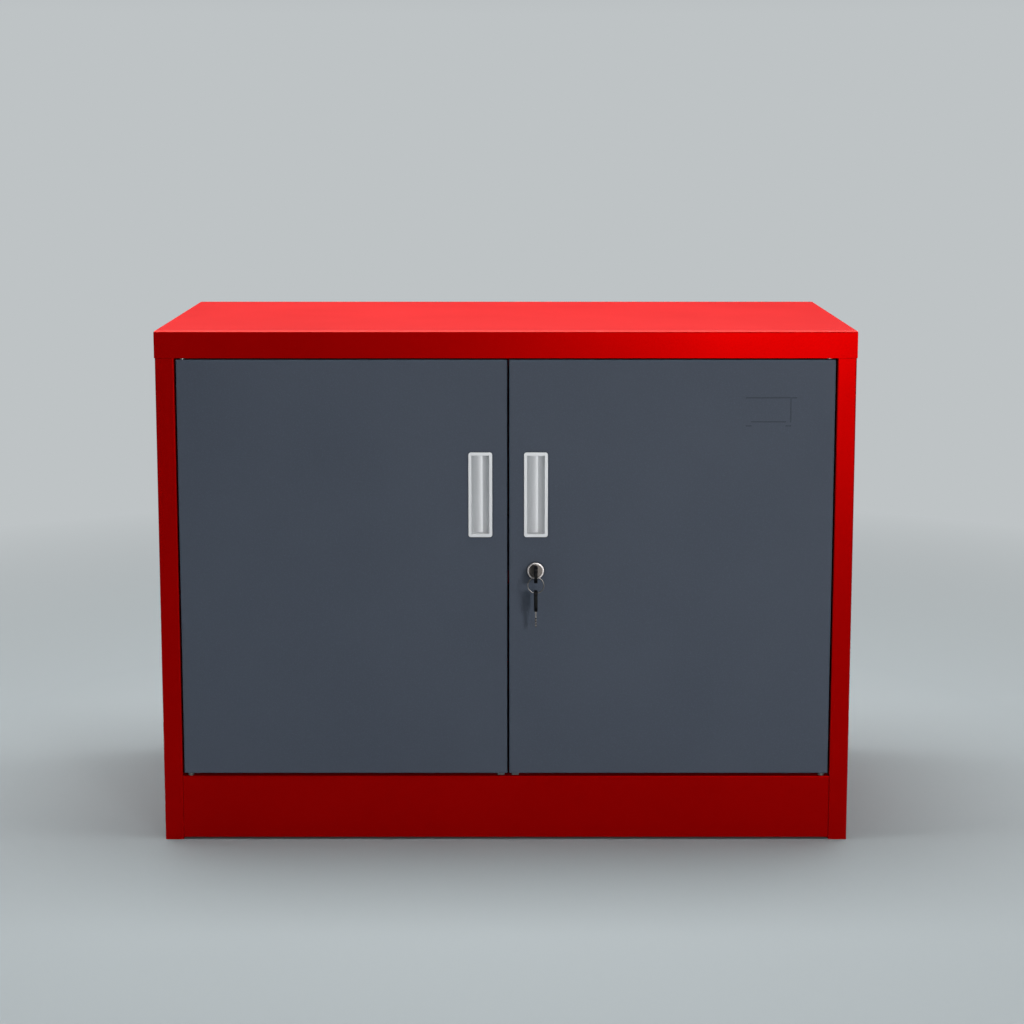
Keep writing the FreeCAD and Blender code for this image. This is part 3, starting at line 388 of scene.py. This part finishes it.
def chromedLock():
    # worn chrome plate on the rim, and inside it a face coloured dark as a painted dark
    # reflection, with fine turned rings
    material, tree, shader = newMaterial("chromedLock", {
        "Metallic": 1.0, "Roughness": lockFace["roughness"]})
    low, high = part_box("lock_body")
    place = addNode(tree, "ShaderNodeTexCoord")
    centred = addNode(tree, "ShaderNodeVectorMath", {
        "operation": "SUBTRACT", 1: ((low[0] + high[0]) / 2, 0, (low[2] + high[2]) / 2)},
        {0: place.outputs["Object"]})
    flat = addNode(tree, "ShaderNodeVectorMath", {"operation": "MULTIPLY", 1: (1, 0, 1)},
                   {0: centred.outputs[0]})
    reach = addNode(tree, "ShaderNodeVectorMath", {"operation": "LENGTH"}, {0: flat.outputs[0]})
    faceEnd = lockFace["faceRadiusMm"] + lockFace["faceEdgeMm"]
    outside = addNode(tree, "ShaderNodeMapRange",
                      {"From Min": lockFace["faceRadiusMm"] * mm, "From Max": faceEnd * mm},
                      {"Value": reach.outputs["Value"]})
    # painted reflection: the face inside the rim is given a dark colour
    colour = addNode(tree, "ShaderNodeMix", {
        "data_type": "RGBA", 6: linear(lockFace["faceDarkReflection"]), 7: linear(lockFace["rimColour"])},
        {0: outside.outputs["Result"]})
    turned = addNode(tree, "ShaderNodeMath", {
        "operation": "MULTIPLY", 1: 2 * math.pi / (lockFace["turningMm"] * mm)},
        {0: reach.outputs["Value"]})
    wave = addNode(tree, "ShaderNodeMath", {"operation": "SINE"}, {0: turned.outputs[0]})
    bump = addNode(tree, "ShaderNodeBump",
                   {"Distance": lockFace["turningDeepMm"] * mm, "Strength": 1.0},
                   {"Height": wave.outputs[0]})
    join(tree, shader, {"Base Color": colour.outputs[2], "Normal": bump.outputs["Normal"]})
    return material


slotFinishes = {
    "carcass_enamel": stovedRedEnamel(),
    "door_powder_coat": slatePowderCoat(),
    "handle_plastic": silverPaintedAbs(),
    "lock_chrome": chromedLock(),
    "zinc_steel": brightZinc(),
    "white_nylon": naturalNylon(),
    "grey_nylon": greyNylon(),
    "buffer_rubber": blackRubber(),
    "key_plastic": blackKeyPlastic(),
    "key_nickel": dullNickel(),
}


def dressNodes():
    for part in frame["record"]["subparts"]:
        node = frame["nodes"][part["node"]]
        node.data.materials.clear()
        node.data.materials.append(slotFinishes[part["material_slot"]])


dressNodes()
print("materials")


# pieces made here, each in the place of its plain CAD node

def pieceFrom(name, build, slotName, body, smoothDegrees):
    mesh = bpy.data.meshes.new(name)
    bmesh.ops.recalc_face_normals(build, faces=build.faces)
    build.to_mesh(mesh)
    build.free()
    for face in mesh.polygons:
        face.use_smooth = True
    mesh.set_sharp_from_angle(angle=math.radians(smoothDegrees))
    mesh.materials.append(slotFinishes[slotName])
    piece = bpy.data.objects.new(name, mesh)
    bpy.context.collection.objects.link(piece)
    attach(piece, body)
    return piece


def skinBetween(build, loops, closed=True):
    # quads between neighbouring loops of vertices, each loop as long as the next
    for first, second in zip(loops, loops[1:]):
        count = len(first)
        for i in range(count if closed else count - 1):
            j = (i + 1) % count
            build.faces.new((first[i], first[j], second[j], second[i]))


splitRing = {
    "turns": 1.9,
    "layerMm": 0.74,            # from the middle of one turn to the middle of the next
    "halfWideMm": 0.35,
    "halfThickMm": 0.62,
    "stepDegrees": 26,          # how long the wire takes to change layer
    "stepAt": 150,
    "segments": 180,
    "sides": 12,
    "endSegments": 3,           # how many segments the rounding of an end takes
    "endLeast": 0.08,           # the squared share of the wire that is left at the very end
    "smoothDegrees": 50,
}


def keySplitRing():
    # flat spring wire wound nearly twice round, with rounded ends
    coil = splitRing
    low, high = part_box("key_ring")
    middle = (Vector(low) + Vector(high)) / 2
    wire = (high[1] - low[1]) / 2
    radius = (high[0] - low[0]) / 2 - wire
    count, sides = coil["segments"], coil["sides"]
    build = bmesh.new()
    loops = []
    for i in range(count + 1):
        swing = (i / count - 0.5) * coil["turns"] * 360
        step = max(-1.0, min(1.0, swing / coil["stepDegrees"] * 2))
        layer = math.sin(step * math.pi / 2) * coil["layerMm"] * mm / 2
        ends = min(1, min(i, count - i) / coil["endSegments"])
        size = math.sqrt(max(coil["endLeast"], 1 - (1 - ends) ** 2))
        angle = math.radians(swing + coil["stepAt"])
        loop = []
        for k in range(sides):
            turn = k / sides * 2 * math.pi
            reach = radius + math.cos(turn) * coil["halfThickMm"] * mm * size
            loop.append(build.verts.new((
                middle.x + reach * math.cos(angle),
                middle.y + layer + math.sin(turn) * coil["halfWideMm"] * mm * size,
                middle.z + reach * math.sin(angle))))
        loops.append(loop)
    skinBetween(build, loops)
    build.faces.new(loops[0])
    build.faces.new(loops[-1])
    ring = pieceFrom("keySplitRing", build, "key_nickel", "key_ring", coil["smoothDegrees"])
    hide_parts("key_ring")


keyHeadMould = {
    "cornerMm": 8.0,
    "leastCornerMm": 0.2,
    "edgeMm": 0.9,              # rounding of the outer edge
    "rimMm": 1.1,               # width of the raised rim round the thumb pad
    "rimFootMm": 0.4,
    "padDepthMm": 0.5,
    "holeMm": 3.2,
    "holeInsetMm": 5.4,
    "holeLipMm": 0.5,
    "holeChamferMm": 0.15,
    "ribs": 3,
    "ribPitchMm": 2.6,
    "ribWideMm": 1.1,
    "ribLongMm": 10.0,
    "ribStartMm": 14.0,
    "ribRiseMm": 0.42,
    "around": 96,
    "edgeSteps": 5,
    "ribSteps": 8,
    "smoothDegrees": 40,
}


def halfStepAngles():
    # angles round a loop, half a step off the axes so that no point lies on one
    count = keyHeadMould["around"]
    return [(i + 0.5) / count * 2 * math.pi for i in range(count)]


def roundedOblong(length, height, inset):
    # points round a rounded oblong from 0 to length, drawn in by an inset
    corner = max(keyHeadMould["cornerMm"] * mm - inset, keyHeadMould["leastCornerMm"] * mm)
    halfU, halfV = length / 2 - inset - corner, height / 2 - inset - corner
    points = []
    for angle in halfStepAngles():
        signU = 1 if math.cos(angle) > 0 else -1
        signV = 1 if math.sin(angle) > 0 else -1
        points.append((length / 2 + signU * halfU + corner * math.cos(angle),
                       signV * halfV + corner * math.sin(angle)))
    return points


def mouldedKeyHead(name, node, body, layOut):
    # rounded edges, a sunk thumb pad with ribs, and a lip round the hole
    low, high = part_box(node)
    length, height, spot = layOut(low, high)
    thick = (high[0] - low[0]) / 2
    middle = (low[0] + high[0]) / 2
    build = bmesh.new()

    def vertex(x, u, v):
        return build.verts.new((middle + x, *spot(u, v)))

    for side in (-1, 1):
        keyHeadFace(build, vertex, side, length, height, thick)
        thumbRibs(build, vertex, side, thick)
    bmesh.ops.remove_doubles(build, verts=build.verts, dist=sameSpot)
    head = pieceFrom(name, build, "key_plastic", body, keyHeadMould["smoothDegrees"])
    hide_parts(node)


def keyHeadFace(build, vertex, side, length, height, thick):
    # one half of the head, from its middle line over the rim and the pad into the hole
    mould = keyHeadMould
    edge, pad = mould["edgeMm"] * mm, mould["padDepthMm"] * mm
    rim, foot = mould["rimMm"] * mm, mould["rimFootMm"] * mm
    hole, lip = mould["holeMm"] * mm, mould["holeLipMm"] * mm
    chamfer = mould["holeChamferMm"] * mm

    def outerLoop(x, drawnIn):
        return [vertex(side * x, u, v) for u, v in roundedOblong(length, height, drawnIn)]

    def holeLoop(x, radius):
        return [vertex(side * x, mould["holeInsetMm"] * mm + radius * math.cos(angle),
                       radius * math.sin(angle)) for angle in halfStepAngles()]

    loops = [outerLoop(0, 0)]
    for i in range(mould["edgeSteps"] + 1):
        angle = math.pi / 2 * i / mould["edgeSteps"]
        loops.append(outerLoop(thick - edge + edge * math.sin(angle),
                               edge * (1 - math.cos(angle))))
    loops += [outerLoop(thick, rim), outerLoop(thick - pad, rim + foot),
              holeLoop(thick - pad, hole + lip), holeLoop(thick, hole + lip - chamfer),
              holeLoop(thick, hole + chamfer), holeLoop(thick - chamfer, hole),
              holeLoop(0, hole)]
    skinBetween(build, loops)


def thumbRibs(build, vertex, side, thick):
    # half-round ribs across the thumb pad
    mould = keyHeadMould
    floor = thick - mould["padDepthMm"] * mm
    ribWide, ribLong = mould["ribWideMm"] * mm, mould["ribLongMm"] * mm
    for i in range(mould["ribs"]):
        start = (mould["ribStartMm"] + i * mould["ribPitchMm"]) * mm
        rows = []
        for k in range(mould["ribSteps"] + 1):
            angle = k / mould["ribSteps"] * math.pi
            rise = mould["ribRiseMm"] * mm * math.sin(angle)
            rows.append([vertex(side * (floor + rise), start - ribWide / 2 * math.cos(angle), v)
                         for v in (-ribLong / 2, ribLong / 2)])
        skinBetween(build, rows, closed=False)
        for end in (0, 1):
            build.faces.new([row[end] for row in rows])


def headInLock(low, high):
    # a head's length and height, and where (u, v) lies: u runs from its free end to the door
    return (high[1] - low[1], high[2] - low[2],
            lambda u, v: (low[1] + u, (low[2] + high[2]) / 2 + v))


def headHanging(low, high):
    # the same for the spare key, where u runs down from the end with the hole
    return (high[2] - low[2], high[1] - low[1],
            lambda u, v: ((low[1] + high[1]) / 2 + v, high[2] - u))


backScrew = {
    "domeMm": 0.7,
    "edgeMm": 0.5,              # how far the rounded edge falls below the dome
    "edgeShare": 0.1,
    "slotLongMm": 2.3,
    "slotWideMm": 0.55,
    "slotDeepMm": 0.9,
    "slotTaper": 0.5,           # how much shallower the recess is at its ends
    "shankRadiusMm": 1.75,
    "around": 72,
    "across": 16,
    "centreShare": 0.01,
    "shankAround": 24,
    "smoothDegrees": 30,
}


def looseParts(node):
    # the boxes of a node's separate solids
    build = bmesh.new()
    build.from_mesh(frame["nodes"][node].data)
    bmesh.ops.remove_doubles(build, verts=build.verts, dist=sameSpot)
    seen = set()
    boxes = []
    for first in build.verts:
        if first in seen:
            continue
        seen.add(first)
        group = [first]
        for vert in group:
            for edge in vert.link_edges:
                other = edge.other_vert(vert)
                if other not in seen:
                    seen.add(other)
                    group.append(other)
        boxes.append([[pick(v.co[i] for v in group) for i in range(3)] for pick in (min, max)])
    build.free()
    return boxes


def screwFall(u, v, share):
    # how far a spot of a screw's head lies below its crown, where share is 1 at the edge
    make = backScrew
    fall = make["domeMm"] * mm * share ** 2
    inside = 1 - make["edgeShare"]
    if share > inside:
        fall += make["edgeMm"] * mm * (share - inside) / make["edgeShare"]
    slotLong = make["slotLongMm"] * mm
    if min(abs(u), abs(v)) < make["slotWideMm"] * mm and max(abs(u), abs(v)) < slotLong:
        fall += make["slotDeepMm"] * mm * (1 - math.hypot(u, v) / slotLong * make["slotTaper"])
    return fall


def crossRecessScrews():
    # zinc pan heads with a cross recess, and their plain shanks
    make = backScrew
    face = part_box("back_panel")[1][1]
    build = bmesh.new()
    for low, high in looseParts("back_screws"):
        x, z = (low[0] + high[0]) / 2, (low[2] + high[2]) / 2
        radius = (high[0] - low[0]) / 2
        proud = high[1] - face
        loops = []
        for k in range(make["across"] + 1):
            share = 1 - k / make["across"]
            reach = radius * max(share, make["centreShare"])
            loop = []
            for i in range(make["around"]):
                angle = i / make["around"] * 2 * math.pi
                u, v = reach * math.cos(angle), reach * math.sin(angle)
                fall = proud if k == 0 else min(screwFall(u, v, share), proud)
                loop.append(build.verts.new((x + u, high[1] - fall, z + v)))
            loops.append(loop)
        skinBetween(build, loops)
        build.faces.new(loops[-1])
        build.faces.new(loops[0])
        thin = make["shankRadiusMm"] * mm
        steps = [i / make["shankAround"] * 2 * math.pi for i in range(make["shankAround"])]
        shank = [[build.verts.new((x + thin * math.cos(a), depth, z + thin * math.sin(a)))
                  for a in steps] for depth in (face, low[1])]
        skinBetween(build, shank)
        build.faces.new(shank[0])
        build.faces.new(shank[1])
    screws = pieceFrom("crossRecessScrews", build, "zinc_steel", "carcass", make["smoothDegrees"])
    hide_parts("back_screws")


keySplitRing()
mouldedKeyHead("keyHeadMoulding", "key_head", "key", headInLock)
mouldedKeyHead("spareHeadMoulding", "spare_key_head", "spare_key", headHanging)
crossRecessScrews()
print("ring, key heads and screws")


# floor, backdrop and light

room = {
    "floorColour": "#878D8F",
    "roughness": 0.7,
    "specular": 0.1,
    "wallTone": "#BEC3C5",      # how the wall shows, whatever light falls on it
    "highTone": "#85898B",      # above the pale band, out of the picture
    "paleTo": 1.3,
    "highFrom": 2.6,
    "radius": 5.0,
    "sweepRadius": 1.2,
    "sweepSteps": 12,
    "height": 4.5,
    "rings": (0.6, 1.5, 2.6),   # where the flat floor has loops of vertices
    "around": 96,
    "fadeFrom": 0.9,            # the floor keeps its own light and shadow this far out
    "fadeTo": 2.2,
}


def paleStudioPaint():
    # matt paint; away from the cabinet what is seen and mirrored is one even pale tone
    material, tree, shader = newMaterial("paleStudioPaint", {
        "Base Color": linear(room["floorColour"]), "Roughness": room["roughness"],
        "Specular IOR Level": room["specular"]})
    place = addNode(tree, "ShaderNodeTexCoord")
    split = addNode(tree, "ShaderNodeSeparateXYZ", None, {"Vector": place.outputs["Object"]})
    rise = addNode(tree, "ShaderNodeMapRange",
                   {"From Min": room["paleTo"], "From Max": room["highFrom"]},
                   {"Value": split.outputs["Z"]})
    tone = addNode(tree, "ShaderNodeMix", {
        "data_type": "RGBA", 6: linear(room["wallTone"]), 7: linear(room["highTone"])},
        {0: rise.outputs["Result"]})
    even = addNode(tree, "ShaderNodeEmission", {"Strength": 1.0}, {"Color": tone.outputs[2]})
    reach = addNode(tree, "ShaderNodeVectorMath", {"operation": "LENGTH"},
                    {0: place.outputs["Object"]})
    far = addNode(tree, "ShaderNodeMapRange",
                  {"From Min": room["fadeFrom"], "From Max": room["fadeTo"]},
                  {"Value": reach.outputs["Value"]})
    path = addNode(tree, "ShaderNodeLightPath")
    seen = path.outputs["Is Camera Ray"]
    for ray in ("Is Glossy Ray", "Is Transmission Ray"):
        seen = addNode(tree, "ShaderNodeMath", {"operation": "ADD", "use_clamp": True},
                       {0: seen, 1: path.outputs[ray]}).outputs[0]
    share = addNode(tree, "ShaderNodeMath", {"operation": "MULTIPLY"},
                    {0: far.outputs["Result"], 1: seen})
    blend = addNode(tree, "ShaderNodeMixShader", None, {
        0: share.outputs[0], 1: shader.outputs[0], 2: even.outputs[0]})
    join(tree, tree.nodes["Material Output"], {"Surface": blend.outputs[0]})
    return material


def paleStudio():
    # a round floor that turns up into one even wall on all sides
    build = bmesh.new()
    turn = room["sweepRadius"]
    profile = [(reach, 0.0) for reach in room["rings"]]
    for i in range(room["sweepSteps"] + 1):
        angle = i / room["sweepSteps"] * math.pi / 2
        profile.append((room["radius"] - turn + turn * math.sin(angle),
                        turn - turn * math.cos(angle)))
    profile.append((room["radius"], room["height"]))
    steps = [i / room["around"] * 2 * math.pi for i in range(room["around"])]
    loops = [[build.verts.new((reach * math.cos(a), reach * math.sin(a), z)) for a in steps]
             for reach, z in profile]
    skinBetween(build, loops)
    build.faces.new(loops[0])
    bmesh.ops.recalc_face_normals(build, faces=build.faces)
    mesh = bpy.data.meshes.new("studioSweep")
    build.to_mesh(mesh)
    build.free()
    for face in mesh.polygons:
        face.use_smooth = True
    mesh.flip_normals()
    mesh.materials.append(paleStudioPaint())
    sweep = bpy.data.objects.new("studioSweep", mesh)
    bpy.context.collection.objects.link(sweep)


def aimAt(thing, target):
    thing.rotation_euler = (Vector(target) - thing.location).to_track_quat("-Z", "Y").to_euler()


def softLamp(name, place, target, width, height, watts):
    light = bpy.data.lights.new(name, "AREA")
    light.shape = "RECTANGLE"
    light.size = width
    light.size_y = height
    light.energy = watts
    lamp = bpy.data.objects.new(name, light)
    lamp.location = place
    lamp.visible_camera = False
    bpy.context.collection.objects.link(lamp)
    aimAt(lamp, target)
    return lamp


lamps = {
    # place, aim, width, height, watts
    "topLamp": ((0.0, 0.1, 2.6), (0.0, 0.0, 0.6), 2.4, 1.2, 136),
    "keyLamp": ((1.4, -3.4, 1.2), (0.1, -0.2, 0.4), 0.5, 0.5, 38),
    "fillLamp": ((-2.2, -3.2, 1.6), (0.0, 0.0, 0.3), 1.6, 1.6, 8),
    "rearLamp": ((-0.8, 3.2, 1.5), (0.0, 0.0, 0.3), 1.8, 1.2, 16),
    "leftLamp": ((-3.2, 0.9, 1.3), (-0.45, 0.0, 0.35), 1.4, 1.2, 16),
    "rightLamp": ((3.2, 0.9, 1.3), (0.45, 0.0, 0.35), 1.4, 1.2, 16),
    "reflectionCard": ((0.79, -3.4, 0.52), (0.36, -0.2, 0.65), 0.85, 0.5, 84),
}
air = {"colour": "#E8ECEF", "strength": 0.25}


def lightTheRoom():
    made = {name: softLamp(name, *numbers) for name, numbers in lamps.items()}
    made["reflectionCard"].visible_diffuse = False      # seen only as a soft shine at the right
    for name in ("rearLamp", "leftLamp", "rightLamp"):
        made[name].visible_glossy = False       # they light the back and the sides without a glare
    world = bpy.data.worlds.new("studioAir")
    bpy.context.scene.world = world
    world.use_nodes = True
    sky = world.node_tree.nodes["Background"]
    sky.inputs["Color"].default_value = linear(air["colour"])
    sky.inputs["Strength"].default_value = air["strength"]


shot = {
    "imagePixels": 1024,
    "focalPixels": 2071.0,
    "sensorMm": 36.0,
    "distance": 2.629,          # in front of the doors
    "side": 0.0079,
    "height": 0.958,
    "tiltDegrees": 7.76,
    "shift": -0.12,             # the photo's lens was shifted down, and the tilt does the rest
}


def takeAim():
    camera = bpy.data.cameras.new("photoCamera")
    camera.sensor_fit = "HORIZONTAL"
    camera.sensor_width = shot["sensorMm"]
    camera.lens = shot["focalPixels"] / shot["imagePixels"] * camera.sensor_width
    camera.shift_y = shot["shift"]
    holder = bpy.data.objects.new("photoCamera", camera)
    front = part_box("left_door_panel")[0][1]
    holder.location = (shot["side"], front - shot["distance"], shot["height"])
    holder.rotation_euler = (math.radians(90 - shot["tiltDegrees"]), 0, 0)
    bpy.context.collection.objects.link(holder)
    bpy.context.scene.camera = holder
    bpy.context.scene.view_settings.view_transform = "Standard"


paleStudio()
lightTheRoom()
takeAim()
print("room, lamps and camera")
